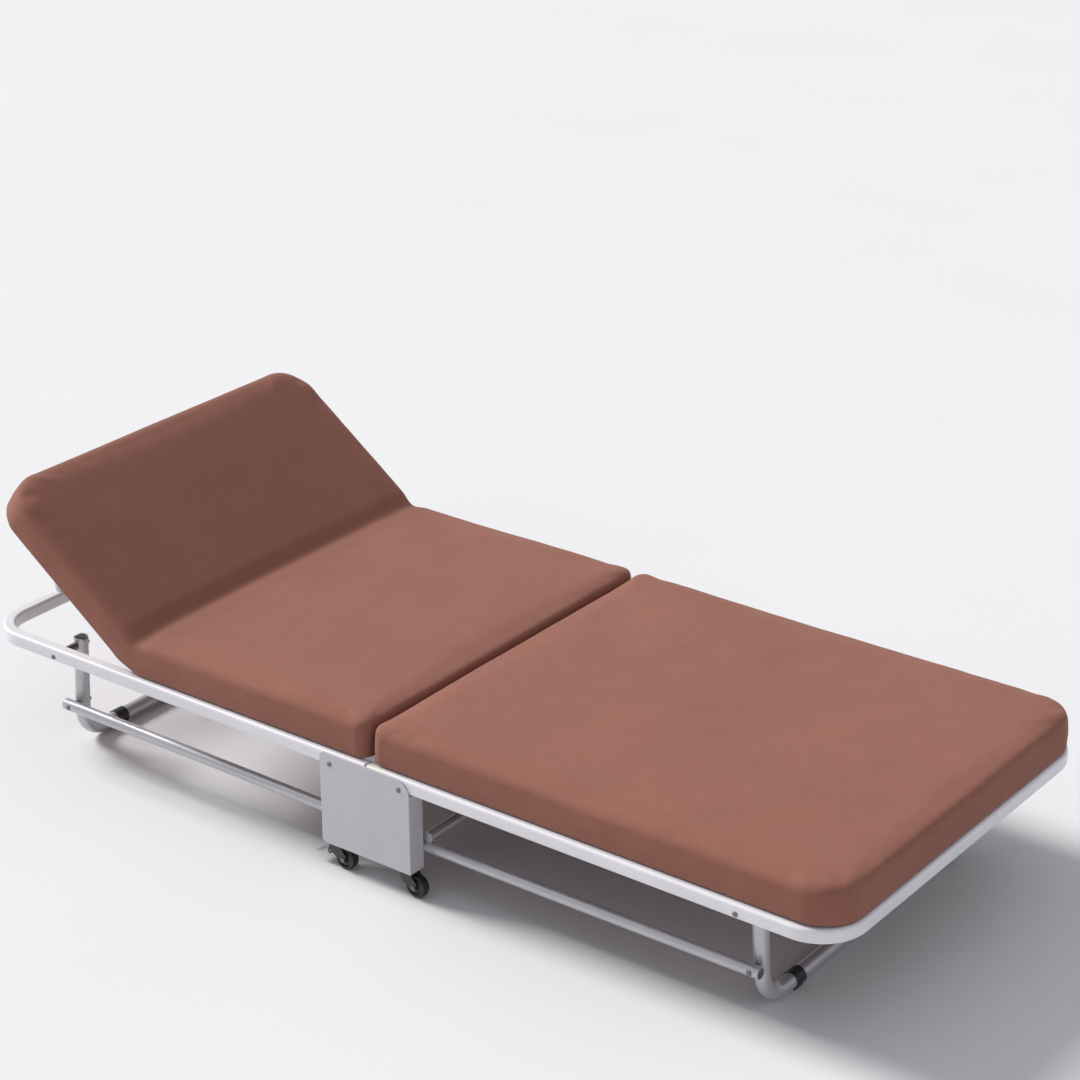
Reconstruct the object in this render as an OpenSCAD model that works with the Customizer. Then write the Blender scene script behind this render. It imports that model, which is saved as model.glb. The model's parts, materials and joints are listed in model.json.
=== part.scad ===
// Folding cot: two hinged rail sections on a pair of castor brackets, parallelogram
// leg linkages, tilting headrest and a two-piece cushion. Millimetres, +Z up, +X foot.

/* [Bed] */
// Length over both rails
length = 1900; // [1860:10:1940]
// Width over both rails
width = 820; // [800:10:840]
// Height of the rail top above the floor
rail_top = 230; // [228:1:232]
// Height of a rail
rail_h = 27; // [26:1:28]
// Width of a rail
rail_w = 24; // [22:1:25]
// Radius of the frame corners, at their outer edge
corner_r = 88; // [70:2:110]

/* [Hinges] */
// Distance of each section hinge from the middle
pin_x = 78; // [76:1:80]
// Height of the section hinges
pin_z = 209; // [208:0.5:210]
// Distance of each leg pivot from the middle
leg_x = 762; // [740:2:770]
// Height of the leg pivots
leg_z = 212.5; // [212:0.5:213]

/* [Tubes] */
// Leg tube diameter
leg_d = 28; // [26:1:28]
// Link tube diameter
link_d = 22; // [20:1:22]
// Handle tube diameter
handle_d = 20; // [18:1:22]

/* [Headrest] */
// Angle of the raised headrest
tilt = 36.3; // [30:0.1:38]

/* [Cushion] */
// Half width of the cushions
cushion_y = 400; // [380:5:402]
// Height of the cushion top
cushion_top = 286; // [280:0.5:286]

/* [Hidden] */
$fn = 64;
rail_zc = rail_top - rail_h / 2;
rail_yc = width / 2 - rail_w / 2;
rail_in = width / 2 - rail_w;
rail_round = 6;
rail_x0 = pin_x - 75.5;
// link pivots hang a fixed step off the frame pivots, so the four make a parallelogram
drop_x = 7.5;
drop_z = 123;
arm = [leg_x - pin_x, leg_z - pin_z];
splay = atan(drop_x / drop_z);
rise = atan(arm[1] / arm[0]);
pivot_drop = norm([drop_x, drop_z]);
link_run = norm(arm);
link_bx = pin_x + drop_x;
link_bz = pin_z - drop_z;
link_y = width / 2 - 44;
leg_y = width / 2 - 71.5;
foot_z = leg_d / 2 + 2;
leg_run = (leg_z - foot_z) / cos(splay);
leg_bend = 55;
// room for the leg top as it sweeps under the sling
sling_z = rail_top + 1;
sling_t = 1.2;
leg_sweep = sling_z - leg_z - 0.2;
cross_r = 7;
cross_z = sling_z - cross_r;
bracket_x = 100;
bracket_z = 49;
plate_t = 3;
plate_in = width / 2 + 0.5;
plate_out = plate_in + plate_t;
flange_in = link_y + link_d / 2 + 0.4;
cap_end = 42;
castor_y = (plate_out + flange_in) / 2;
wheel_r = 21;
trail = 20;
rest_x = -578;
handle_x = -length / 2 + 11;
handle_lean = 12;
handle_run = 125;
// the model is set over the middle of its own length, handle included
centre_x = (-handle_x + handle_run * sin(handle_lean) + handle_d / 2 - length / 2) / 2;
bed_z = sling_z + sling_t;
// the bed plane and its raised copy meet here
fold_x = rest_x + (bed_z - cross_z) * tan(tilt / 2);
slide_c = 80;
cush_px = fold_x + slide_c * sin(tilt / 2);
cush_pz = bed_z + slide_c * cos(tilt / 2);
split_x = cush_px - (cush_pz - cushion_top) * tan(tilt / 2);

// ---- helpers ----
module put() {
  translate([centre_x, 0, 0])
    children();
}

module rounded(w, h, r) {
  square([w - 2 * r, h], center = true);
  square([w, h - 2 * r], center = true);
  for (x = [-1, 1], y = [-1, 1])
    translate([x * (w / 2 - r), y * (h / 2 - r)])
      circle(r = r);
}

module both_sides() {
  children();
  mirror([0, 1, 0])
    children();
}

module side(far) {
  mirror([0, far ? 1 : 0, 0])
    children();
}

module half(head) {
  mirror([head ? 1 : 0, 0, 0])
    children();
}

// a round bar from y0 to y1 (distances outward on the near side)
module bar_y(x, z, r, y0, y1) {
  translate([x, -y0, z])
    rotate([90, 0, 0])
      cylinder(r = r, h = y1 - y0);
}

module cone_y(x, z, r0, r1, y0, y1) {
  translate([x, -y0, z])
    rotate([90, 0, 0])
      cylinder(r1 = r0, r2 = r1, h = y1 - y0);
}

module slab(x0, x1, y0, y1, z0, z1) {
  translate([x0, y0, z0])
    cube([x1 - x0, y1 - y0, z1 - z0]);
}

// ---- brackets and hinge pins ----
module plate_shape() {
  big = 28;
  small = 9;
  top = rail_top - 2;
  difference() {
    translate([-bracket_x, bracket_z])
      square([2 * bracket_x, top - bracket_z]);
    translate([bracket_x - big, top - big])
      square(big + 1);
    translate([-bracket_x - 1, top - small])
      square(small + 1);
    polygon([
      [-bracket_x - 1, bracket_z - 1],
      [-bracket_x + 6, bracket_z - 1],
      [-bracket_x - 1, bracket_z + 6]
    ]);
  }
  translate([bracket_x - big, top - big])
    circle(r = big);
  translate([-bracket_x + small, top - small])
    circle(r = small);
}

module bracket() {
  flange_top = rail_top - rail_h - 3;
  difference() {
    union() {
      translate([0, -plate_in, 0])
        rotate([90, 0, 0])
          linear_extrude(plate_t)
            plate_shape();
      for (x = [-bracket_x, bracket_x - plate_t])
        slab(x, x + plate_t, -plate_in, -flange_in, bracket_z + 6, flange_top);
      slab(-bracket_x + 6, bracket_x, -plate_in, -flange_in, bracket_z, bracket_z + plate_t);
      slab(bracket_x - plate_t, bracket_x, -plate_in, -flange_in, bracket_z, bracket_z + 7);
    }
    for (x = [-pin_x, pin_x])
      bar_y(x, pin_z, 3.05, flange_in, plate_out + 1);
    for (x = [-80, 80])
      translate([x, -castor_y, bracket_z - 1])
        cylinder(r = 4.05, h = plate_t + 2);
  }
}

module bracket_near() {
  color([0.76, 0.75, 0.77])
    put()
    bracket();
}

module bracket_far() {
  color([0.76, 0.75, 0.77])
    put()
    side(true)
      bracket();
}

module frame_pins() {
  color([0.6, 0.6, 0.62])
    put()
    both_sides()
      for (x = [-pin_x, pin_x]) {
        bar_y(x, pin_z, 3, rail_in - 0.3, plate_out);
        cone_y(x, pin_z, 5.5, 3.5, plate_out, plate_out + 2);
        bar_y(x, pin_z, 5.5, rail_in - 2.3, rail_in - 0.3);
      }
}

module link_studs() {
  r = link_d / 2;
  color([0.6, 0.6, 0.62])
    put()
    both_sides()
      for (x = [-link_bx, link_bx]) {
        bar_y(x, link_bz, 8, link_y + r + 0.3, plate_in);
        bar_y(x, link_bz, 5, link_y - r - 0.3, link_y + r + 0.3);
        bar_y(x, link_bz, 8, link_y - r - 2.3, link_y - r - 0.3);
      }
}

// ---- castors ----
module castor_mounts() {
  color([0.7, 0.7, 0.72])
    put()
    both_sides()
      for (x = [-80, 80])
        translate([x, -castor_y, 0]) {
          translate([-17, -16, bracket_z - 2])
            cube([34, 32, 2]);
          translate([0, 0, bracket_z - 2])
            cylinder(r = 4, h = plate_t + 4);
          translate([0, 0, 43])
            cylinder(r = 4, h = bracket_z - 43);
          translate([0, 0, 43])
            cylinder(r = 6, h = 1.2);
        }
}

module fork(brake) {
  difference() {
    union() {
      translate([0, 0, 44.4])
        cylinder(r = 13, h = 2.2);
      for (y = [-12.2, 10.2])
        translate([0, y + 2, 0])
          rotate([90, 0, 0])
            linear_extrude(2) {
              polygon([[-9, 46.6], [12, 46.6], [26, 30], [26, 18], [16, 16], [-2, 27], [-9, 38]]);
              translate([trail, wheel_r])
                circle(r = 6.5);
              if (brake)
                polygon([[-9, 46.6], [0, 46.6], [0, 30], [-11, 24], [-15, 28]]);
            }
      for (y = [-12.2, 10.2])
        translate([-9, y, 44.4])
          cube([18, 2, 2.2]);
    }
    translate([0, 0, 40])
      cylinder(r = 4.06, h = 10);
    translate([trail, 20, wheel_r])
      rotate([90, 0, 0])
        cylinder(r = 3.05, h = 40);
    if (brake)
      translate([-10, 20, 30])
        rotate([90, 0, 0])
          cylinder(r = 1.55, h = 40);
  }
}

module wheel() {
  translate([trail, 9, wheel_r])
    rotate([90, 0, 0])
      difference() {
        rotate_extrude()
          polygon([
            [3.06, 0], [8, 0], [8, 1.5], [15, 3], [15, 1.2], [18.5, 0.5], [20.4, 2], [wheel_r, 4.5],
            [wheel_r, 13.5], [20.4, 16], [18.5, 17.5], [15, 16.8], [15, 15], [8, 16.5], [8, 18], [3.06, 18]
          ]);
        translate([0, 0, -1])
          cylinder(r = 3.06, h = 20);
      }
}

module axle() {
  translate([trail, 12.4, wheel_r])
    rotate([90, 0, 0])
      cylinder(r = 3, h = 24.8);
  for (y = [-12.4, 14])
    translate([trail, y, wheel_r])
      rotate([90, 0, 0])
        cylinder(r = 4.6, h = 1.6);
}

module pedal() {
  translate([-10, 9.8, 30])
    rotate([90, 0, 0]) {
      cylinder(r = 3.2, h = 19.6);
      cylinder(r = 1.5, h = 21.8);
      translate([0, 0, -2.2])
        cylinder(r = 1.5, h = 4);
      linear_extrude(19.6)
        polygon([[-1.5, 2.5], [-20, -7], [-33, -11], [-34, -13], [-20, -9.6], [-1, -2.6]]);
    }
}

module place(x, far) {
  side(far)
    translate([x, -castor_y, 0])
      children();
}

module fork_hn() { color([0.09, 0.09, 0.1]) put() place(-80, false) fork(true); }
module fork_hf() { color([0.09, 0.09, 0.1]) put() place(-80, true) fork(true); }
module fork_fn() { color([0.09, 0.09, 0.1]) put() place(80, false) fork(false); }
module fork_ff() { color([0.09, 0.09, 0.1]) put() place(80, true) fork(false); }
module axle_hn() { color([0.5, 0.5, 0.52]) put() place(-80, false) axle(); }
module axle_hf() { color([0.5, 0.5, 0.52]) put() place(-80, true) axle(); }
module axle_fn() { color([0.5, 0.5, 0.52]) put() place(80, false) axle(); }
module axle_ff() { color([0.5, 0.5, 0.52]) put() place(80, true) axle(); }
module wheel_hn() { color([0.06, 0.06, 0.07]) put() place(-80, false) wheel(); }
module wheel_hf() { color([0.06, 0.06, 0.07]) put() place(-80, true) wheel(); }
module wheel_fn() { color([0.06, 0.06, 0.07]) put() place(80, false) wheel(); }
module wheel_ff() { color([0.06, 0.06, 0.07]) put() place(80, true) wheel(); }
module pedal_near() { color([0.72, 0.72, 0.74]) put() place(-80, false) pedal(); }
module pedal_far() { color([0.72, 0.72, 0.74]) put() place(-80, true) pedal(); }

// ---- section frames, drawn as the foot half ----
module rail_section_x(x0, x1) {
  both_sides()
    translate([x0, -rail_yc, rail_zc])
      rotate([90, 0, 90])
        linear_extrude(x1 - x0)
          rounded(rail_w, rail_h, rail_round);
}

// the inner end is cut to an arc about the hinge, so the two halves pass each other
module inner_end_cut() {
  both_sides()
    difference() {
      slab(rail_x0 - 1, rail_x0 + 14, -width / 2 - 1, -rail_in + 1, rail_top - rail_h - 1, rail_top + 1);
      bar_y(pin_x, pin_z, pin_x - 0.3, rail_in - 3, width / 2 + 3);
    }
}

module rail(x0) {
  difference() {
    union() {
      rail_section_x(x0, length / 2 - corner_r);
      both_sides()
        translate([length / 2 - corner_r, -(width / 2 - corner_r), rail_zc])
          rotate([0, 0, -90])
            rotate_extrude(angle = 90)
              translate([corner_r - rail_w / 2, 0])
                rounded(rail_w, rail_h, rail_round);
      translate([length / 2 - rail_w / 2, width / 2 - corner_r, rail_zc])
        rotate([90, 0, 0])
          linear_extrude(width - 2 * corner_r)
            rounded(rail_w, rail_h, rail_round);
    }
    both_sides() {
      bar_y(pin_x, pin_z, 3.06, rail_in - 2, width / 2 + 2);
      bar_y(leg_x, leg_z, 4.05, rail_in - 2, width / 2 + 2);
    }
    inner_end_cut();
  }
}

module cross_bar(x) {
  translate([x, rail_in, cross_z])
    rotate([90, 0, 0])
      cylinder(r = cross_r, h = 2 * rail_in);
}

module sling(x0, x1, hy) {
  slab(x0, x1, -hy, hy, sling_z, bed_z);
  both_sides()
    slab(x0, x1, -hy, -hy + 10, rail_top, sling_z);
}

module leg_pins() {
  r = leg_d / 2;
  both_sides() {
    cone_y(leg_x, leg_z, 5.5, 3.8, width / 2, width / 2 + 1.8);
    bar_y(leg_x, leg_z, 4, leg_y - r - 0.3, width / 2);
    difference() {
      bar_y(leg_x, leg_z, 7.5, leg_y + r + 0.5, rail_in);
      bar_y(leg_x, leg_z, 3.9, leg_y, rail_in + 1);
    }
    bar_y(leg_x, leg_z, 6, leg_y - r - 2.3, leg_y - r - 0.3);
  }
}

// plan of a cushion half: rounded corners at x1, arc about the hinge at the middle
module cushion_block(x0, x1, r) {
  translate([0, 0, bed_z])
    linear_extrude(cushion_top - bed_z) {
      translate([x0, -cushion_y])
        square([x1 - x0 - r, 2 * cushion_y]);
      translate([x1 - r - 1, -cushion_y + r])
        square([r + 1, 2 * (cushion_y - r)]);
      for (y = [-1, 1])
        translate([x1 - r, y * (cushion_y - r)])
          circle(r = r);
    }
}

// keeps only what stays clear of the other half while the section folds
module clear_of_middle() {
  reach = pin_x - 0.6;
  difference() {
    children();
    difference() {
      slab(-5, pin_x, -500, 500, pin_z, 400);
      bar_y(pin_x, pin_z, reach, -501, 501);
    }
  }
}

module head_rail() { color([0.83, 0.82, 0.84]) put() half(true) rail(rail_x0); }
module foot_rail() { color([0.83, 0.82, 0.84]) put() rail(cap_end); }

// moulded plugs that carry the foot rails on to the middle
module rail_caps() {
  color([0.86, 0.85, 0.8])
    put()
    difference() {
      rail_section_x(rail_x0, cap_end);
      inner_end_cut();
    }
}

module head_cross_bars() {
  color([0.8, 0.8, 0.82])
    put() {
      cross_bar(-105);
      cross_bar(rest_x + 22);
    }
}

module foot_cross_bars() { color([0.8, 0.8, 0.82]) put() cross_bar(105); }
module head_sling() { color([0.5, 0.38, 0.35]) put() sling(rest_x + 28, -96, width / 2 - 9); }
module foot_sling() { color([0.5, 0.38, 0.35]) put() sling(96, length / 2 - 36, width / 2 - 9); }
module head_leg_pins() { color([0.6, 0.6, 0.62]) put() half(true) leg_pins(); }
module foot_leg_pins() { color([0.6, 0.6, 0.62]) put() leg_pins(); }

module foot_cushion() {
  color([0.45, 0.27, 0.22])
    put()
    clear_of_middle()
      cushion_block(0.6, length / 2 - 8, 62);
}

module head_cushion() {
  color([0.45, 0.27, 0.22])
    put()
    half(true)
      clear_of_middle()
        cushion_block(0.6, -split_x - 0.4, 1);
}

// ---- headrest: drawn flat, then raised about its hinge ----
module raised(px, pz) {
  translate([px, 0, pz])
    rotate([0, tilt, 0])
      translate([-px, 0, -pz])
        children();
}

module rest_lugs() {
  color([0.7, 0.7, 0.72])
    put()
    both_sides()
      difference() {
        translate([0, -279.4, 0])
          rotate([90, 0, 0])
            linear_extrude(4) {
              translate([rest_x, cross_z])
                circle(r = 7.4);
              translate([rest_x, cross_z - 5])
                square([16, 10]);
            }
        bar_y(rest_x, cross_z, 3.05, 270, 290);
        bar_y(rest_x + 22, cross_z, cross_r, 270, 290);
      }
}

module rest_pins() {
  color([0.6, 0.6, 0.62])
    put()
    both_sides() {
      bar_y(rest_x, cross_z, 3, 262, 284);
      bar_y(rest_x, cross_z, 5.4, 283.5, 285.5);
    }
}

module rest_frame() {
  x_end = -904;
  y = 270;
  r = 50;
  color([0.8, 0.8, 0.82])
    put()
    raised(rest_x, cross_z)
      difference() {
        union() {
          both_sides() {
            translate([x_end + r, -y, cross_z])
              rotate([0, 90, 0])
                cylinder(r = cross_r, h = rest_x - x_end - r);
            translate([x_end + r, -y + r, cross_z])
              rotate([0, 0, 180])
                rotate_extrude(angle = 90)
                  translate([r, 0])
                    circle(r = cross_r);
            bar_y(rest_x, cross_z, cross_r, y - 7, y + 7);
          }
          translate([x_end, y - r, cross_z])
            rotate([90, 0, 0])
              cylinder(r = cross_r, h = 2 * (y - r));
          translate([rest_x - 22, y, cross_z])
            rotate([90, 0, 0])
              cylinder(r = 6, h = 2 * y);
        }
        both_sides()
          bar_y(rest_x, cross_z, 3.06, y - 10, y + 10);
      }
}

module rest_sling() {
  color([0.5, 0.38, 0.35])
    put()
    raised(rest_x, cross_z)
      slab(-911, rest_x - 12, -277, 277, sling_z, bed_z);
}

module rest_cushion() {
  color([0.45, 0.27, 0.22])
    put()
    raised(cush_px, cush_pz)
      difference() {
        half(true)
          cushion_block(-split_x + 0.4, length / 2 - 22, 62);
        slab(-1000, -500, -500, 500, bed_z - 1, bed_z + 0.3);
      }
}

// ---- handle and strap on the head end bar ----
module handle() {
  hr = handle_d / 2;
  y = 218;
  bend = 50;
  color([0.84, 0.83, 0.85])
    put()
    difference() {
      translate([handle_x, 0, rail_top - 6])
        rotate([0, -handle_lean, 0]) {
          both_sides() {
            translate([0, -y, 0])
              cylinder(r = hr, h = handle_run - bend);
            translate([0, -y + bend, handle_run - bend])
              mirror([0, 0, 1])
                bend_arc(bend, hr);
          }
          translate([0, y - bend, handle_run])
            rotate([90, 0, 0])
              cylinder(r = hr, h = 2 * (y - bend));
        }
      // coped onto the end bar
      translate([-length / 2 + rail_w / 2, 400, rail_zc])
        rotate([90, 0, 0])
          linear_extrude(800)
            rounded(rail_w, rail_h, rail_round);
      slab(-length / 2 - 30, -length / 2 + 60, -400, 400, rail_zc - 30, rail_top - 5);
    }
}

module strap() {
  xc = -length / 2 + rail_w / 2;
  color([0.05, 0.05, 0.06])
    put()
    translate([0, 292.5, 0]) {
      translate([xc, 0, rail_zc])
        rotate([90, 0, 0])
          linear_extrude(25)
            difference() {
              rounded(rail_w + 3.2, rail_h + 3.2, rail_round + 1.6);
              rounded(rail_w + 0.8, rail_h + 0.8, rail_round + 0.4);
            }
      translate([-length / 2 - 1.6, -25, rail_top - rail_h - 48])
        cube([1.2, 25, 56]);
    }
}

module buckle() {
  color([0.04, 0.04, 0.05])
    put()
    translate([-length / 2 - 1.7, 280, rail_zc - 26])
      rotate([90, 0, -90])
        linear_extrude(6)
          difference() {
            rounded(34, 30, 4);
            translate([0, 9.5])
              square([26, 4], center = true);
          }
}

// ---- legs and links, drawn as the foot half ----
module leg() {
  r = leg_d / 2;
  wall = 1.8;
  translate([leg_x, 0, leg_z])
    rotate([0, -splay, 0])
      difference() {
        union() {
          both_sides() {
            translate([0, -leg_y, -leg_run + leg_bend])
              cylinder(r = r, h = leg_run - leg_bend + 15);
            translate([0, -leg_y + leg_bend, -leg_run + leg_bend])
              bend_arc(leg_bend, r);
          }
          translate([0, leg_y - leg_bend, -leg_run])
            rotate([90, 0, 0])
              cylinder(r = r, h = 2 * (leg_y - leg_bend));
        }
        both_sides() {
          bar_y(0, 0, 4.05, leg_y - 20, leg_y + 20);
          bar_y(0, -pivot_drop, 4.12, leg_y - 20, leg_y + 20);
          translate([0, -leg_y, -30])
            cylinder(r = r - wall, h = 60);
          difference() {
            slab(-20, 20, -leg_y - 20, -leg_y + 20, 0, 40);
            bar_y(0, 0, leg_sweep, leg_y - 30, leg_y + 30);
          }
        }
      }
}

// quarter torus in the YZ plane, from straight down-facing to along the cross tube
module bend_arc(br, r) {
  rotate([90, 0, -90])
    rotate([0, 0, -90])
      rotate_extrude(angle = 90)
        translate([br, 0])
          circle(r = r);
}

// a sleeve with a flat foot, which stays level as the leg does
module pads() {
  r = leg_d / 2;
  x = leg_x + leg_run * sin(splay);
  both_sides()
    difference() {
      union() {
        bar_y(x, foot_z, r + 1.5, 232, 258);
        slab(x - 9, x + 9, -258, -232, 0, foot_z);
      }
      bar_y(x, foot_z, r, 230, 260);
    }
}

module link_side() {
  r = link_d / 2;
  translate([link_bx, -link_y, link_bz])
    rotate([0, -rise, 0])
      difference() {
        translate([-18, 0, 0])
          rotate([0, 90, 0])
            cylinder(r = r, h = link_run + 34);
        for (x = [-19, link_run + 17 - 26])
          translate([x, 0, 0])
            rotate([0, 90, 0])
              cylinder(r = r - 1.6, h = 26);
        translate([0, 20, 0])
          rotate([90, 0, 0])
            cylinder(r = 5.05, h = 40);
        translate([link_run, 20, 0])
          rotate([90, 0, 0])
            cylinder(r = 4.05, h = 40);
      }
}

module link_bar() {
  r = link_d / 2;
  translate([link_bx, 0, link_bz])
    rotate([0, -rise, 0])
      difference() {
        translate([20, link_y + 5, r + 9])
          rotate([90, 0, 0])
            cylinder(r = 10, h = 2 * (link_y + 5));
        for (y = [-link_y, link_y])
          translate([-10, y, 0])
            rotate([0, 90, 0])
              cylinder(r = r, h = 60);
      }
}

module link_pins() {
  r = link_d / 2;
  x = link_bx + arm[0];
  z = link_bz + arm[1];
  both_sides() {
    cone_y(x, z, 5.5, 3.8, link_y + r, link_y + r + 1.8);
    bar_y(x, z, 4, leg_y - leg_d / 2 - 0.3, link_y + r);
    bar_y(x, z, 6.5, leg_y + leg_d / 2 + 0.3, link_y - r);
    bar_y(x, z, 6, leg_y - leg_d / 2 - 2.3, leg_y - leg_d / 2 - 0.3);
  }
}

module head_leg() { color([0.8, 0.8, 0.82]) put() half(true) leg(); }
module foot_leg() { color([0.8, 0.8, 0.82]) put() leg(); }
module head_pads() { color([0.05, 0.05, 0.05]) put() half(true) pads(); }
module foot_pads() { color([0.05, 0.05, 0.05]) put() pads(); }
module head_link_near() { color([0.82, 0.82, 0.84]) put() half(true) link_side(); }
module head_link_far() { color([0.82, 0.82, 0.84]) put() half(true) side(true) link_side(); }
module head_link_bar() { color([0.82, 0.82, 0.84]) put() half(true) link_bar(); }
module head_link_pins() { color([0.6, 0.6, 0.62]) put() half(true) link_pins(); }
module foot_link_near() { color([0.82, 0.82, 0.84]) put() link_side(); }
module foot_link_far() { color([0.82, 0.82, 0.84]) put() side(true) link_side(); }
module foot_link_bar() { color([0.82, 0.82, 0.84]) put() link_bar(); }
module foot_link_pins() { color([0.6, 0.6, 0.62]) put() link_pins(); }
bracket_near();
bracket_far();
frame_pins();
link_studs();
castor_mounts();
fork_hn();
fork_hf();
fork_fn();
fork_ff();
axle_hn();
axle_hf();
axle_fn();
axle_ff();
wheel_hn();
wheel_hf();
wheel_fn();
wheel_ff();
pedal_near();
pedal_far();
head_rail();
head_cross_bars();
head_sling();
head_cushion();
head_leg_pins();
rest_lugs();
rest_pins();
handle();
strap();
buckle();
rest_frame();
rest_sling();
rest_cushion();
foot_rail();
rail_caps();
foot_cross_bars();
foot_sling();
foot_cushion();
foot_leg_pins();
head_leg();
head_pads();
foot_leg();
foot_pads();
head_link_near();
head_link_far();
head_link_bar();
head_link_pins();
foot_link_near();
foot_link_far();
foot_link_bar();
foot_link_pins();
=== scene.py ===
import json
import math

import bpy
import numpy as np
from mathutils import Matrix, Vector


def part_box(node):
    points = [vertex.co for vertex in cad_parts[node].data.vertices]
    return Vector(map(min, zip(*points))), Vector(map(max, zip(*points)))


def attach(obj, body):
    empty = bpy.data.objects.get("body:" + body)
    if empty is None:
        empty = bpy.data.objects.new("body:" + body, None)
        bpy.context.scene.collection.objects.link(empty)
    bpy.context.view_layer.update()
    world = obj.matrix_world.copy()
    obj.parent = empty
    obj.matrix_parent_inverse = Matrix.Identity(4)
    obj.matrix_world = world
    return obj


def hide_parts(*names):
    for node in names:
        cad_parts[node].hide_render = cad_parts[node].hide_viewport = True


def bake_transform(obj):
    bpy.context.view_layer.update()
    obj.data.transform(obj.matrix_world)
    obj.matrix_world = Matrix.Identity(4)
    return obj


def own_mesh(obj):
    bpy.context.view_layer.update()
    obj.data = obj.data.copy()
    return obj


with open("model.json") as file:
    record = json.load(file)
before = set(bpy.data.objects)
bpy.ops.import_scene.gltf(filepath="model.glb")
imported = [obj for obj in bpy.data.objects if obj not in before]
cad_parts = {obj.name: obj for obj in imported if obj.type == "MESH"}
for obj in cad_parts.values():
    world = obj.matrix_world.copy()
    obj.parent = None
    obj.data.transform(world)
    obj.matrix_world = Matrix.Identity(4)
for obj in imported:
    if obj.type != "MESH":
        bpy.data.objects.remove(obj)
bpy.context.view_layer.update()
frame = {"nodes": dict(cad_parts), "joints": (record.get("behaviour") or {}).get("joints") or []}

scene = bpy.context.scene
joints = {j["name"]: j for j in frame["joints"]}

# ---- places, in metres, all worked out from the frame ----
mid_x = sum(c.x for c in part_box("bracket_near")) / 2
half_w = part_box("foot_rail")[1].y
rail_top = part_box("foot_rail")[1].z
rail_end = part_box("foot_rail")[1].x - mid_x
bed_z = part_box("foot_cushion")[0].z
cushion_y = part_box("foot_cushion")[1].y
rest_tilt = math.radians(joints["headrest_tilt"]["range_deg"][1])
rest_hinge = Vector(joints["headrest_tilt"]["pos_m"])
fold_pivot = Vector(joints["headrest_cushion_tilt"]["pos_m"])
tube_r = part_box("foot_cross_bars")[1].z - rest_hinge.z


# ---- sizes that the frame doesn't hold, in metres ----
seam_gap = 0.0012
head_cushion_length = 0.945
sling_thickness = 0.0008


# ---- small mesh helpers ----
def new_object(name, verts, faces, smooth=True):
    mesh = bpy.data.meshes.new(name)
    mesh.from_pydata([tuple(v) for v in verts], [], faces)
    mesh.update()
    obj = bpy.data.objects.new(name, mesh)
    scene.collection.objects.link(obj)
    if smooth:
        mesh.polygons.foreach_set("use_smooth", [True] * len(mesh.polygons))
    return obj


def coords(obj):
    return np.array([v.co for v in obj.data.vertices], float).reshape(-1, 3)


def set_coords(obj, co):
    obj.data.vertices.foreach_set("co", co.astype(np.float32).ravel())
    obj.data.update()


def remember_flat(obj, co):
    """Keeps where each point lies when the bed is flat, so that the weave follows the cloth."""
    layer = obj.data.attributes.new("flat_place", "FLOAT_VECTOR", "POINT")
    layer.data.foreach_set("vector", co.astype(np.float32).ravel())


def grid(name, rows):
    """A quad surface through rows of points."""
    n = len(rows[0])
    verts = [p for row in rows for p in row]
    faces = []
    for i in range(len(rows) - 1):
        for j in range(n - 1):
            faces.append((i * n + j, i * n + j + 1, (i + 1) * n + j + 1, (i + 1) * n + j))
    return new_object(name, verts, faces)


def solidify(obj, thickness):
    """Gives a sheet its thickness, half of it to each side."""
    mod = obj.modifiers.new("thickness", "SOLIDIFY")
    mod.thickness = thickness
    mod.offset = 0.0
    mod.use_even_offset = True


def subdivide(obj):
    mod = obj.modifiers.new("smooth", "SUBSURF")
    mod.levels = 1
    mod.render_levels = 1


def turned(co, pivot, angle):
    """Points turned by angle about a line along Y through pivot; a positive angle lifts the head end."""
    angle = np.asarray(angle)
    c, s = np.cos(angle), np.sin(angle)
    x, z = co[:, 0] - pivot[0], co[:, 2] - pivot[2]
    return np.stack([pivot[0] + x * c + z * s, co[:, 1], pivot[2] - x * s + z * c], axis=1)


# ---- camera ----
def make_camera():
    """The photo's viewpoint. Its angles are in radians and its place in metres from the fold line."""
    azimuth, elevation, roll = 0.64535, 0.41104, 0.00436
    right, front, up = 2.8321, -3.6102, 2.5532
    lens_mm, sensor_mm = 94.0, 36
    shift_x, shift_y = -0.0187, -0.0230
    data = bpy.data.cameras.new("camera")
    cam = bpy.data.objects.new("camera", data)
    scene.collection.objects.link(cam)
    data.sensor_width = sensor_mm
    data.lens = lens_mm
    data.shift_x = shift_x
    data.shift_y = shift_y
    back = Vector((
        math.sin(azimuth) * math.cos(elevation),
        -math.cos(azimuth) * math.cos(elevation),
        math.sin(elevation),
    ))
    cam.rotation_mode = "QUATERNION"
    facing = (-back).to_track_quat("-Z", "Y")
    cam.rotation_quaternion = facing @ Matrix.Rotation(-roll, 3, "Z").to_quaternion()
    cam.location = (mid_x + right, front, up)
    data.clip_end = 50
    scene.camera = cam


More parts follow.
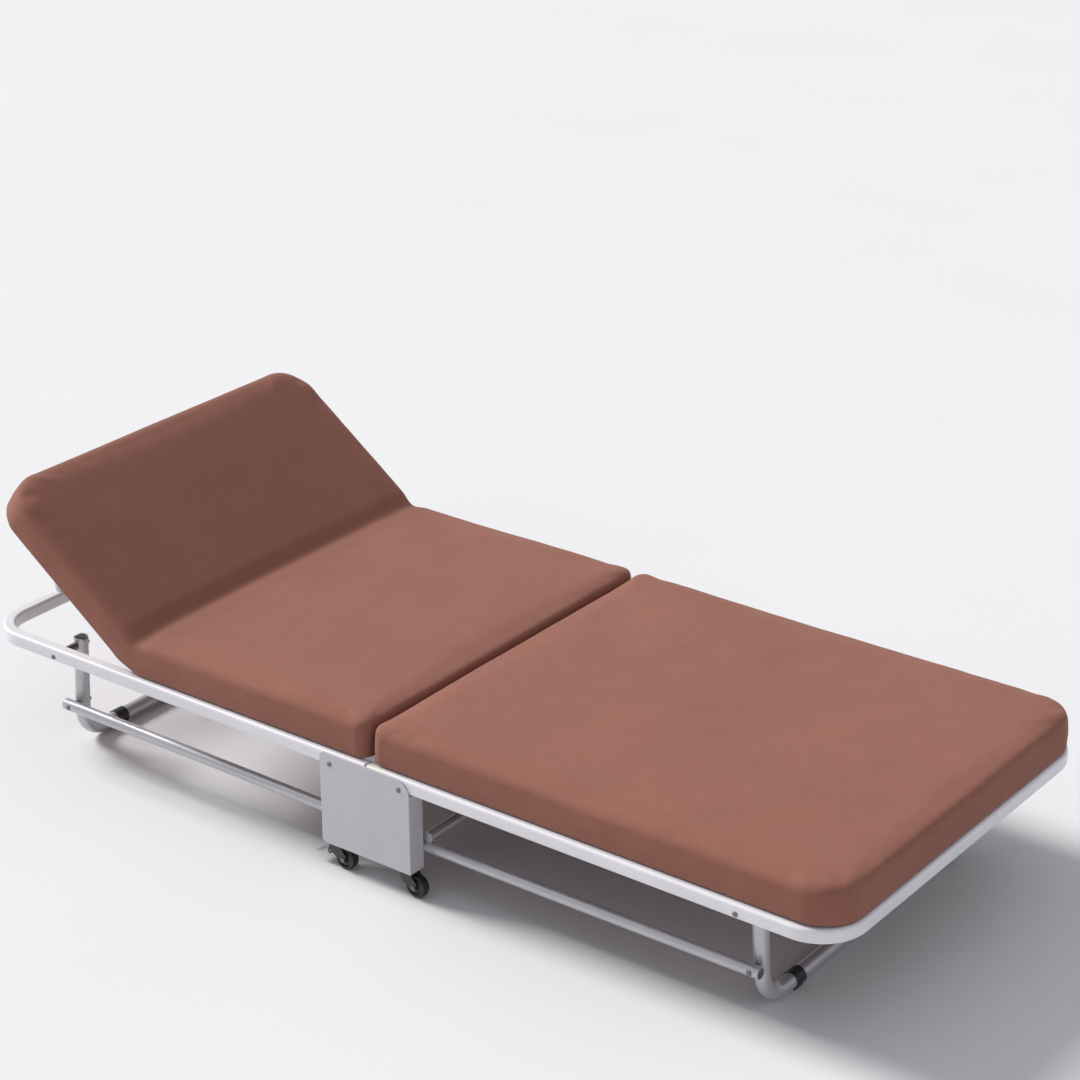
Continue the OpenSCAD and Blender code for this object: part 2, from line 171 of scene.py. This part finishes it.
# ---- stage ----
def make_stage():
    """A pale room with one broad key light and a plain floor."""
    light_falls = Vector((0.78, 0.08, -0.63))
    reach = 14
    world = bpy.data.worlds.new("studio")
    scene.world = world
    world.use_nodes = True
    sky = world.node_tree.nodes["Background"]
    sky.inputs["Color"].default_value = (0.93, 0.94, 1.0, 1)
    sky.inputs["Strength"].default_value = 0.55
    sun = bpy.data.lights.new("key", "SUN")
    sun.energy = 3.5
    sun.angle = math.radians(20)
    sun.color = (1.0, 0.985, 0.96)
    key = bpy.data.objects.new("key", sun)
    scene.collection.objects.link(key)
    key.rotation_mode = "QUATERNION"
    key.rotation_quaternion = light_falls.to_track_quat("-Z", "Y")
    floor = new_object(
        "floor",
        [(-reach, -reach, 0), (reach, -reach, 0), (reach, reach, 0), (-reach, reach, 0)],
        [(0, 1, 2, 3)],
        smooth=False,
    )
    floor.data.materials.append(plain_floor())
    scene.view_settings.view_transform = "Standard"
    scene.view_settings.look = "None"


# ---- materials ----
class Nodes:
    """A short way to write a node tree."""

    def __init__(self, name, place="object"):
        self.material = bpy.data.materials.new(name)
        self.material.use_nodes = True
        self.tree = self.material.node_tree
        self.shader = self.tree.nodes["Principled BSDF"]
        if place == "object":
            self.place = self.add("ShaderNodeTexCoord").outputs["Object"]
        else:
            node = self.add("ShaderNodeAttribute")
            node.attribute_name = place
            self.place = node.outputs["Vector"]

    def add(self, kind, **settings):
        node = self.tree.nodes.new(kind)
        for key, value in settings.items():
            setattr(node, key, value)
        return node

    def link(self, value, socket):
        if isinstance(value, bpy.types.NodeSocket):
            self.tree.links.new(value, socket)
        else:
            socket.default_value = value

    def noise(self, scale, detail=2.0, roughness=0.5, stretch=None):
        node = self.add("ShaderNodeTexNoise")
        place = self.place
        if stretch:
            mapping = self.add("ShaderNodeMapping")
            mapping.inputs["Scale"].default_value = stretch
            self.link(place, mapping.inputs["Vector"])
            place = mapping.outputs["Vector"]
        self.link(place, node.inputs["Vector"])
        node.inputs["Scale"].default_value = scale
        node.inputs["Detail"].default_value = detail
        node.inputs["Roughness"].default_value = roughness
        return node.outputs["Fac"]

    def math(self, operation, a, b=0.0):
        node = self.add("ShaderNodeMath", operation=operation)
        for value, socket in zip((a, b), node.inputs):
            self.link(value, socket)
        return node.outputs[0]

    def range(self, value, low, high, to_low=0.0, to_high=1.0):
        node = self.add("ShaderNodeMapRange")
        for v, key in (
            (value, "Value"),
            (low, "From Min"), (high, "From Max"),
            (to_low, "To Min"), (to_high, "To Max"),
        ):
            self.link(v, node.inputs[key])
        return node.outputs[0]

    def link_colour(self, colour, socket):
        """Links a colour that is another node's output, or sets one given as red, green and blue."""
        self.link(colour if isinstance(colour, bpy.types.NodeSocket) else (*colour, 1), socket)

    def mix(self, share, a, b):
        """Colour a at share 0 and b at share 1; the sockets 6, 7 and 2 are the mix node's colour ones."""
        node = self.add("ShaderNodeMix", data_type="RGBA")
        self.link(share, node.inputs[0])
        self.link_colour(a, node.inputs[6])
        self.link_colour(b, node.inputs[7])
        return node.outputs[2]

    def waves(self, pitch):
        """Sines along X, Y and Z with that pitch, in metres."""
        split = self.add("ShaderNodeSeparateXYZ")
        self.link(self.place, split.inputs[0])
        return [
            self.math("SINE", self.math("MULTIPLY", split.outputs[i], 2 * math.pi / pitch))
            for i in range(3)
        ]

    def bump(self, height, distance, strength=1.0, under=None):
        node = self.add("ShaderNodeBump")
        node.inputs["Strength"].default_value = strength
        node.inputs["Distance"].default_value = distance
        self.link(height, node.inputs["Height"])
        if under:
            self.link(under, node.inputs["Normal"])
        return node.outputs["Normal"]

    def finish(self, colour=None, roughness=None, normal=None, **plain):
        inputs = self.shader.inputs
        if colour is not None:
            self.link_colour(colour, inputs["Base Color"])
        if roughness is not None:
            self.link(roughness, inputs["Roughness"])
        if normal is not None:
            self.link(normal, inputs["Normal"])
        for key, value in plain.items():
            inputs[key.replace("_", " ")].default_value = value
        return self.material


def plain_floor():
    n = Nodes("floor")
    tone = n.mix(n.noise(1.5, 1.0), (0.72, 0.72, 0.73), (0.75, 0.75, 0.76))
    return n.finish(tone, 0.7, Specular_IOR_Level=0.2)


def brushed_fabric():
    """Brown brushed cover cloth: short nap over a fine plain weave."""
    yarn_pitch = 0.0016
    n = Nodes("cushion_fabric", "flat_place")
    broad = n.range(n.noise(5.0, 3.0, 0.55), 0.32, 0.68)
    nap = n.range(n.noise(38.0, 4.0, 0.6, (1.0, 1.6, 1.0)), 0.3, 0.7)
    fibre = n.noise(1100.0, 2.0, 0.6)
    wx, wy, wz = n.waves(yarn_pitch)
    weave = n.math("MULTIPLY", n.math("ADD", wx, wz), wy)
    colour = n.mix(broad, (0.245, 0.098, 0.068), (0.275, 0.112, 0.079))
    colour = n.mix(n.math("MULTIPLY", nap, 0.35), colour, (0.225, 0.087, 0.061))
    colour = n.mix(n.range(fibre, 0.25, 0.75, 0.0, 0.4), colour, (0.32, 0.137, 0.098))
    normal = n.bump(n.math("ADD", n.math("MULTIPLY", weave, 0.25), fibre), 0.0004, 0.55)
    normal = n.bump(n.noise(70.0, 3.0, 0.6), 0.0009, 0.35, normal)
    rough = n.range(nap, 0.0, 1.0, 0.78, 0.9)
    return n.finish(
        colour, rough, normal,
        Specular_IOR_Level=0.25,
        Sheen_Weight=0.12, Sheen_Roughness=0.45, Sheen_Tint=(1.0, 0.80, 0.74, 1),
    )


def textilene():
    """Open plain weave of coated yarn in brown, with painted shade: the openings between the yarns are
    painted near black, and the yarn passing under at each crossing is painted darker than the yarn lying
    over it.
    """
    yarn_pitch = 0.0036
    n = Nodes("sling_mesh", "flat_place")
    wx, wy = n.waves(yarn_pitch)[:2]
    cross = n.math("MULTIPLY", wx, wy)
    over = n.range(cross, -0.55, 0.55)
    gap_painted_shade = n.range(n.math("MAXIMUM", n.math("ABSOLUTE", wx), n.math("ABSOLUTE", wy)), 0.15, 0.5)
    shade = n.noise(9.0, 3.0)
    # painted light and shade: the yarn lying over at a crossing is lighter and the yarn passing under is
    # darker, following the bump's height
    yarn = n.mix(over, (0.17, 0.092, 0.074), (0.30, 0.175, 0.142))
    yarn = n.mix(n.range(shade, 0.3, 0.7, 0.0, 0.3), yarn, (0.21, 0.125, 0.103))
    # painted shade: the openings between the yarns are near black
    colour = n.mix(gap_painted_shade, (0.055, 0.030, 0.025), yarn)
    height = n.math("ADD", n.math("MULTIPLY", over, 0.5), n.math("MULTIPLY", gap_painted_shade, 0.6))
    return n.finish(colour, 0.58, n.bump(height, 0.0007, 0.9), Specular_IOR_Level=0.4)


def enamel(name, light, dark, roughness, coat=0.25, metallic=0.0):
    """Powder coat: faint orange peel, a little dust and handling wear in the gloss."""
    n = Nodes(name)
    broad = n.range(n.noise(7.0, 3.0, 0.55), 0.3, 0.7)
    dust = n.range(n.noise(85.0, 4.0, 0.65), 0.45, 0.75)
    peel = n.noise(420.0, 2.0, 0.45)
    colour = n.mix(broad, light, dark)
    colour = n.mix(n.math("MULTIPLY", dust, 0.14), colour, tuple(0.8 * c for c in dark))
    rough = n.range(n.noise(24.0, 4.0, 0.6), 0.3, 0.7, roughness - 0.06, roughness + 0.08)
    scuff = n.noise(60.0, 3.0, 0.7, (0.12, 1.0, 1.0))
    normal = n.bump(peel, 0.00022, 0.35)
    normal = n.bump(scuff, 0.0002, 0.12, normal)
    return n.finish(
        colour, rough, normal,
        Metallic=metallic, Coat_Weight=coat, Coat_Roughness=0.18, Specular_IOR_Level=0.5,
    )


def steel(name, light, dark, roughness):
    """Plated steel: drawn streaks, small pits and uneven gloss."""
    n = Nodes(name)
    streak = n.noise(260.0, 3.0, 0.6, (0.15, 1.0, 1.0))
    pits = n.range(n.noise(520.0, 3.0, 0.6), 0.55, 0.8)
    colour = n.mix(streak, light, dark)
    colour = n.mix(n.math("MULTIPLY", pits, 0.4), colour, tuple(0.45 * c for c in dark))
    rough = n.range(n.noise(90.0, 3.0), 0.3, 0.7, roughness - 0.08, roughness + 0.12)
    return n.finish(colour, rough, n.bump(streak, 0.0002, 0.3), Metallic=1.0)


def rubber():
    """Black tyre rubber, dulled and greyed where it is scuffed."""
    n = Nodes("castor_rubber")
    grain = n.noise(800.0, 3.0, 0.6)
    scuff = n.range(n.noise(120.0, 4.0, 0.7), 0.5, 0.75)
    colour = n.mix(n.math("MULTIPLY", scuff, 0.5), (0.012, 0.012, 0.013), (0.045, 0.043, 0.042))
    rough = n.range(scuff, 0.0, 1.0, 0.32, 0.55)
    return n.finish(colour, rough, n.bump(grain, 0.0002, 0.35))


def moulded(name, light, dark, roughness):
    """Moulded plastic: fine spark-eroded grain and faint flow marks."""
    n = Nodes(name)
    grain = n.noise(1300.0, 2.0, 0.55)
    flow = n.range(n.noise(30.0, 2.0, 0.5, (1.0, 1.0, 3.0)), 0.35, 0.65)
    colour = n.mix(flow, light, dark)
    rough = n.range(flow, 0.0, 1.0, roughness - 0.05, roughness + 0.08)
    return n.finish(colour, rough, n.bump(grain, 0.00025, 0.4))


def webbing():
    """Black ribbed strap, with painted light: the rib crests are painted lighter and the grooves darker.
    """
    rib_pitch = 0.0024
    n = Nodes("webbing")
    wy, wz = n.waves(rib_pitch)[1:]
    rib_height_painted_light = n.math("ABSOLUTE", n.math("ADD", wz, n.math("ABSOLUTE", wy)))
    # painted light and shade: lighter on the rib crests and darker in the grooves, following the bump's
    # height
    colour = n.mix(n.range(rib_height_painted_light, 0.0, 1.6), (0.010, 0.010, 0.012), (0.045, 0.045, 0.052))
    colour = n.mix(n.range(n.noise(150.0, 3.0), 0.5, 0.8, 0.0, 0.4), colour, (0.06, 0.06, 0.065))
    return n.finish(colour, 0.7, n.bump(rib_height_painted_light, 0.0004, 0.7), Sheen_Weight=0.15)


# ---- cushions ----
def outline(x0, x1, half, r0, r1, steps=14):
    """A rectangle's plan with corner radius r0 at x0 and r1 at x1, anticlockwise."""
    points = []
    for cx, cy, r, start in (
        (x1 - r1, half - r1, r1, 0.0),
        (x0 + r0, half - r0, r0, 0.5),
        (x0 + r0, -half + r0, r0, 1.0),
        (x1 - r1, -half + r1, r1, 1.5),
    ):
        for k in range(steps + 1):
            a = math.pi * (start + 0.5 * k / steps)
            points.append((cx + r * math.cos(a), cy + r * math.sin(a)))
    return points


def cushion_form(name, length, half, thick, r_seam, r_end, edge, crown):
    """A foam block's cover before it is filled: x 0 at the seam end, z 0 on the sling."""
    base_inset, base_edge, base_steps = 0.09, 0.010, 5
    side_bulge, edge_steps = 0.0015, 7
    crown_run, least_corner = 0.30, 0.003
    rings = [(base_inset, 0.0), (base_edge, 0.0)]
    for k in range(1, base_steps + 1):
        a = math.pi / 2 * k / base_steps
        rings.append((base_edge * (1 - math.sin(a)), base_edge * (1 - math.cos(a))))
    rings.append((-side_bulge, thick * 0.4))
    for k in range(edge_steps + 1):
        a = math.pi / 2 * k / edge_steps
        rings.append((edge * (1 - math.cos(a)), thick - edge + edge * math.sin(a)))
    for inset in (0.05, 0.09, 0.15, 0.23, 0.32):
        rise = math.sin(min(1.0, (inset - edge) / crown_run) * math.pi / 2)
        rings.append((inset, thick + crown * rise))
    verts, faces = [], []
    for inset, z in rings:
        # the seam end is rounded half as deep as the sides, so that the halves meet closely
        seam_inset = inset * 0.5 if inset < edge else inset - edge * 0.5
        corners = [max(r - inset, least_corner) for r in (r_seam, r_end)]
        plan = outline(seam_inset, length - inset, half - inset, *corners)
        verts += [(x, y, z) for x, y in plan]
    n = len(plan)
    for i in range(len(rings) - 1):
        for j in range(n):
            k = (j + 1) % n
            faces.append((i * n + j, i * n + k, (i + 1) * n + k, (i + 1) * n + j))
    faces.append(tuple(range(n - 1, -1, -1)))
    faces.append(tuple(range((len(rings) - 1) * n, len(rings) * n)))
    return new_object(name, verts, faces)


def remesh(obj, voxel):
    bpy.context.view_layer.objects.active = obj
    obj.data.remesh_voxel_size = voxel
    obj.data.use_remesh_preserve_volume = True
    bpy.ops.object.voxel_remesh()


def inflate(obj, cap, pressure=4.0, frames=20):
    """Fills the cover by cloth simulation. The underside stays put and no point moves more than cap."""
    hold_height, least_hold = 0.006, 0.02
    co = coords(obj)
    group = obj.vertex_groups.new(name="held")
    held = np.clip(1 - co[:, 2] / hold_height, 0, 1)
    for i, w in enumerate(held):
        group.add([i], float(max(w, least_hold)), "REPLACE")
    mod = obj.modifiers.new("filling", "CLOTH")
    s = mod.settings
    s.quality = 4
    s.mass = 0.35
    s.tension_stiffness = 8
    s.compression_stiffness = 4
    s.shear_stiffness = 4
    s.bending_stiffness = 0.6
    s.shrink_min = -0.012
    s.use_pressure = True
    s.uniform_pressure_force = pressure
    s.vertex_group_mass = "held"
    s.pin_stiffness = 1.0
    s.effector_weights.gravity = 0
    mod.collision_settings.use_collision = False
    mod.point_cache.frame_start = 1
    mod.point_cache.frame_end = frames
    for f in range(1, frames + 1):
        scene.frame_set(f)
    done = obj.evaluated_get(bpy.context.evaluated_depsgraph_get()).to_mesh()
    after = np.array([v.co for v in done.vertices], float).reshape(-1, 3)
    obj.modifiers.remove(mod)
    scene.frame_set(1)
    moved = after - co
    size = np.linalg.norm(moved, axis=1, keepdims=True)
    moved *= cap * np.tanh(size / cap) / np.maximum(size, 1e-9)
    moved *= (1 - held)[:, None]
    set_coords(obj, co + moved)


def soft_noise(co, scale, seed):
    """Smooth deterministic relief from a few crossed waves, about -1 to 1."""
    waves = 7
    rng = np.random.default_rng(seed)
    total = np.zeros(len(co))
    for _ in range(waves):
        a, phase = rng.uniform(0, 2 * math.pi, 2)
        k = scale * rng.uniform(0.6, 1.6)
        total += np.sin(k * (co[:, 0] * math.cos(a) + co[:, 1] * math.sin(a)) + phase)
    return total / 4.0


def settle(obj, thick, seed):
    """Uneven foam and drag lines: low swells on top, short puckers down the sides."""
    swell, ripple, pucker, pucker_reach = 0.0011, 0.0005, 0.0012, 0.03
    co = coords(obj)
    up = np.clip((co[:, 2] - thick * 0.55) / (thick * 0.45), 0, 1)
    co[:, 2] += up * (swell * soft_noise(co, 14.0, seed) + ripple * soft_noise(co, 38.0, seed + 1))
    side = np.clip(1 - np.abs(co[:, 2] / thick - 0.5) / 0.45, 0, 1)
    near_side = np.clip(1 - (cushion_y - np.abs(co[:, 1])) / pucker_reach, 0, 1)
    wave = soft_noise(np.stack([co[:, 0], 0.3 * co[:, 2]], axis=1), 45.0, seed + 2)
    co[:, 1] += np.sign(co[:, 1]) * side * near_side * pucker * wave
    set_coords(obj, co)


def make_cushion(name, length, seed):
    """One half of the cushion, from x 0 at the seam, with z 0 on the sling."""
    thick, edge, crown = 0.068, 0.016, 0.004
    overhang, seam_corner, end_corner = 0.006, 0.030, 0.080
    voxel, most_filling = 0.008, 0.005
    half = cushion_y + overhang
    obj = cushion_form(name, length, half, thick, seam_corner, end_corner, edge, crown)
    remesh(obj, voxel)
    inflate(obj, most_filling)
    settle(obj, thick, seed)
    return obj


def foot_cushion():
    obj = make_cushion("foot_mattress", rail_end - seam_gap, 3)
    co = coords(obj)
    co += (mid_x + seam_gap, 0, bed_z)
    set_coords(obj, co)
    remember_flat(obj, co)
    subdivide(obj)
    obj.data.materials.append(looks["cushion_fabric"])
    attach(obj, "foot_frame")
    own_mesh(obj)
    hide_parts("foot_cushion")


def raise_with_headrest(co, start, end):
    """Where points of the flat cushion lie once the headrest is up.
    """
    halvings = 40
    s, e = np.array(start), np.array(end)
    d = e - s

    def weight(w):
        t = np.clip(((turned(co, fold_pivot, w * rest_tilt) - s) @ d) / (d @ d), 0, 1)
        return t * t * (3 - 2 * t)

    low, high = np.zeros(len(co)), np.ones(len(co))
    for _ in range(halvings):
        middle = (low + high) / 2
        more = weight(middle) > middle
        low, high = np.where(more, middle, low), np.where(more, high, middle)
    return turned(co, fold_pivot, (low + high) / 2 * rest_tilt)


def head_cushion():
    crease_shift, crease_width, crease_fade = 0.002, 0.016, 0.03
    crease_depth, crease_depth_below = 0.0045, 0.0020
    blend_reach = 0.033
    obj = make_cushion("head_mattress", head_cushion_length, 8)
    co = coords(obj)
    co[:, 0] *= -1
    co += (mid_x - seam_gap, 0, bed_z)
    set_coords(obj, co)
    obj.data.flip_normals()
    remember_flat(obj, co)
    # the fold line stays pressed into the foam
    crease_x = fold_pivot.x - crease_shift
    across = (co[:, 0] - crease_x) / crease_width
    top = np.clip((co[:, 2] - bed_z - 0.02) / crease_fade, 0, 1)
    low = np.clip(1 - (co[:, 2] - bed_z) / crease_fade, 0, 1)
    co[:, 2] -= (crease_depth * top + crease_depth_below * low) * np.exp(-across * across)
    lean = Vector((-math.cos(rest_tilt / 2), 0, math.sin(rest_tilt / 2)))
    start, end = fold_pivot - lean * blend_reach, fold_pivot + lean * blend_reach
    set_coords(obj, raise_with_headrest(co, start, end))
    subdivide(obj)
    obj.data.materials.append(looks["cushion_fabric"])
    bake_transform(obj)
    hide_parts("head_cushion", "rest_cushion")


# ---- slings ----
def wrap(cx, cz, r, a0, a1, steps=10):
    """Points round a bar in the XZ plane, from angle a0 to a1 in degrees."""
    angles = [math.radians(a0 + (a1 - a0) * k / steps) for k in range(steps + 1)]
    return [(cx + r * math.cos(a), cz + r * math.sin(a)) for a in angles]


def sling(name, route, flat_part, half, wrap_half, corner, body, node, lift=False):
    """A stretched sheet along route, a list of (x, z).

    Between flat_part's two x values it is half wide to each side, and beyond them wrap_half. A corner
    above 0 rounds it at the higher x and one below 0 at the lower x. It returns the piece, then its
    flat width, flat length and area.
    """
    sag, sag_reach, across = 0.002, 0.30, 20
    x_lo, x_hi = flat_part
    radius = abs(corner)
    rows, flat_rows = [], []
    run = 0.0
    before = route[0]
    for x, z in route:
        run += math.hypot(x - before[0], z - before[1])
        before = (x, z)
        inside = x_lo < x < x_hi
        y_max = half if inside else wrap_half
        far = abs(x - (x_hi if corner > 0 else x_lo))
        if inside and far < radius:
            y_max = half - (radius - math.sqrt(max(0.0, radius * radius - (radius - far) ** 2)))
        share = min(1.0, max(0.0, (x - x_lo) / (x_hi - x_lo)))
        along = max(0.0, math.sin(math.pi * share))
        row, flat_row = [], []
        for k in range(2 * across + 1):
            y = y_max * (k / across - 1)
            middle = max(0.0, 1 - (y / sag_reach) ** 2)
            row.append((x, y, z - sag * middle * along))
            flat_row.append((run, y, 0.0))
        rows.append(row)
        flat_rows.append(flat_row)
    obj = grid(name, rows)
    remember_flat(obj, np.array(flat_rows).reshape(-1, 3))
    if lift:
        set_coords(obj, turned(coords(obj), rest_hinge, rest_tilt))
    solidify(obj, sling_thickness)
    obj.data.materials.append(looks["sling_mesh"])
    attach(obj, body)
    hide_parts(node)
    widths = [row[-1][1] - row[0][1] for row in rows]
    steps = [math.dist(a[across], b[across]) for a, b in zip(rows, rows[1:])]
    area = sum(s * (a + b) / 2 for s, a, b in zip(steps, widths, widths[1:]))
    return obj, (max(widths), sum(steps), area)


def all_slings():
    over_rail, round_bar, spans = 0.0012, 0.0006, 36
    z = rail_top + over_rail
    r = tube_r + round_bar
    half, wrap_half = half_w - 0.017, half_w - 0.027
    steps = [k / spans for k in range(spans + 1)]

    edge_inset, edge_lap, foot_corner = 0.014, 0.001, 0.07
    bar_x = sum(c.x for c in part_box("foot_cross_bars")) / 2
    end_x = mid_x + rail_end - edge_inset
    route = wrap(bar_x, rest_hinge.z, r, 250, 90)
    route += [(bar_x + (end_x - bar_x) * t, z) for t in steps[1:]]
    foot, size = sling(
        "foot_sheet", route, (bar_x, end_x + edge_lap), half, wrap_half, foot_corner,
        "foot_frame", "foot_sling",
    )

    lo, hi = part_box("head_cross_bars")
    inner, outer = hi.x - tube_r, lo.x + tube_r
    route = wrap(inner, rest_hinge.z, r, -70, 90)
    route += [(inner + (outer - inner) * t, z) for t in steps[1:-1]]
    route += wrap(outer, rest_hinge.z, r, 90, 250)
    head, size = sling(
        "head_sheet", route, (outer, inner), half, wrap_half, 0.0,
        "head_frame", "head_sling",
    )

    # the headrest's sheet is laid out flat and then lifted
    end_from_fold, start_from_hinge, round_thin_bar, over_frame = 0.904, 0.022, 0.0066, 0.0008
    rest_half, rest_wrap_half, rest_corner = 0.270, 0.214, 0.05
    rest_end = mid_x - end_from_fold
    rest_start = rest_hinge.x - start_from_hinge
    rest_z = rest_hinge.z + tube_r + over_frame
    route = wrap(rest_start, rest_hinge.z, round_thin_bar, -70, 90)
    route += [(rest_start + (rest_end - rest_start) * t, rest_z) for t in steps[1:-1]]
    route += wrap(rest_end, rest_hinge.z, r, 90, 250)
    rest, size = sling(
        "headrest_sheet", route, (rest_end, rest_start), rest_half, rest_wrap_half, -rest_corner,
        "headrest", "rest_sling", lift=True,
    )


# ---- closing strap ----
def closing_strap():
    """A flat ribbon: a loop round the head end bar, and a tail that hangs to where the CAD strap ends."""
    off, r, thickness = 0.0011, 0.007, 0.0011
    tail_behind, tail_below, tail_steps, width_steps = 0.0014, 0.012, 14, 12
    lo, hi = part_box("strap")
    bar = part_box("head_rail")[0]
    rail_w = half_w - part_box("head_cross_bars")[1].y
    left, right = bar.x - off, bar.x + rail_w + off
    bottom, top = bar.z - off, rail_top + off
    loop = []
    for cx, cz, start in (
        (right - r, top - r, 0), (left + r, top - r, 90),
        (left + r, bottom + r, 180), (right - r, bottom + r, 270),
    ):
        for k in range(7):
            a = math.radians(start + 15 * k)
            loop.append((cx + r * math.cos(a), cz + r * math.sin(a)))
    loop.append(loop[0])
    tail_x, tail_top = left - tail_behind, top - tail_below
    tail = [(tail_x, tail_top - (tail_top - lo.z) * k / tail_steps) for k in range(tail_steps + 1)]
    for name, route in (("strap_loop", loop), ("strap_tail", tail)):
        rows = []
        for x, z in route:
            rows.append([
                (x, lo.y + (hi.y - lo.y) * k / width_steps, z) for k in range(width_steps + 1)
            ])
        obj = grid(name, rows)
        solidify(obj, thickness)
        obj.data.materials.append(looks["webbing"])
        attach(obj, "head_frame")
        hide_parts("strap")


# ---- finishes of the CAD nodes ----
def dress():
    table = (
        ("frame_enamel", ("head_rail", "foot_rail", "handle")),
        ("bracket_enamel", ("bracket_near", "bracket_far")),
        ("leg_enamel", (
            "head_leg", "foot_leg", "head_link_near", "head_link_far", "head_link_bar",
            "foot_link_near", "foot_link_far", "foot_link_bar", "head_cross_bars", "foot_cross_bars",
            "rest_frame", "rest_lugs",
        )),
        ("castor_zinc", ("castor_mounts", "pedal_near", "pedal_far")),
        ("castor_black", ("fork_hn", "fork_hf", "fork_fn", "fork_ff")),
        ("hinge_steel", (
            "frame_pins", "link_studs", "rest_pins", "head_leg_pins", "foot_leg_pins", "head_link_pins",
            "foot_link_pins", "axle_hn", "axle_hf", "axle_fn", "axle_ff",
        )),
        ("castor_rubber", ("wheel_hn", "wheel_hf", "wheel_fn", "wheel_ff")),
        ("white_plastic", ("rail_caps",)),
        ("black_plastic", ("head_pads", "foot_pads", "buckle")),
    )
    for look, names in table:
        for name in names:
            obj = frame["nodes"][name]
            obj.data.materials.clear()
            obj.data.materials.append(looks[look])


looks = {
    "cushion_fabric": brushed_fabric(),
    "sling_mesh": textilene(),
    "frame_enamel": enamel("frame_enamel", (0.80, 0.79, 0.82), (0.74, 0.73, 0.765), 0.36),
    "bracket_enamel": enamel("bracket_enamel", (0.56, 0.55, 0.585), (0.52, 0.51, 0.545), 0.5, 0.1),
    "leg_enamel": enamel("leg_enamel", (0.56, 0.555, 0.585), (0.49, 0.485, 0.515), 0.34, metallic=0.45),
    "castor_zinc": steel("castor_zinc", (0.60, 0.60, 0.61), (0.42, 0.42, 0.43), 0.38),
    "hinge_steel": steel("hinge_steel", (0.26, 0.26, 0.275), (0.16, 0.16, 0.17), 0.38),
    "castor_black": enamel("castor_black", (0.030, 0.030, 0.034), (0.018, 0.018, 0.021), 0.42),
    "castor_rubber": rubber(),
    "black_plastic": moulded("black_plastic", (0.012, 0.012, 0.013), (0.022, 0.022, 0.023), 0.42),
    "white_plastic": moulded("white_plastic", (0.80, 0.785, 0.73), (0.76, 0.745, 0.69), 0.4),
    "webbing": webbing(),
}

make_camera()
make_stage()
dress()
foot_cushion()
head_cushion()
all_slings()
closing_strap()
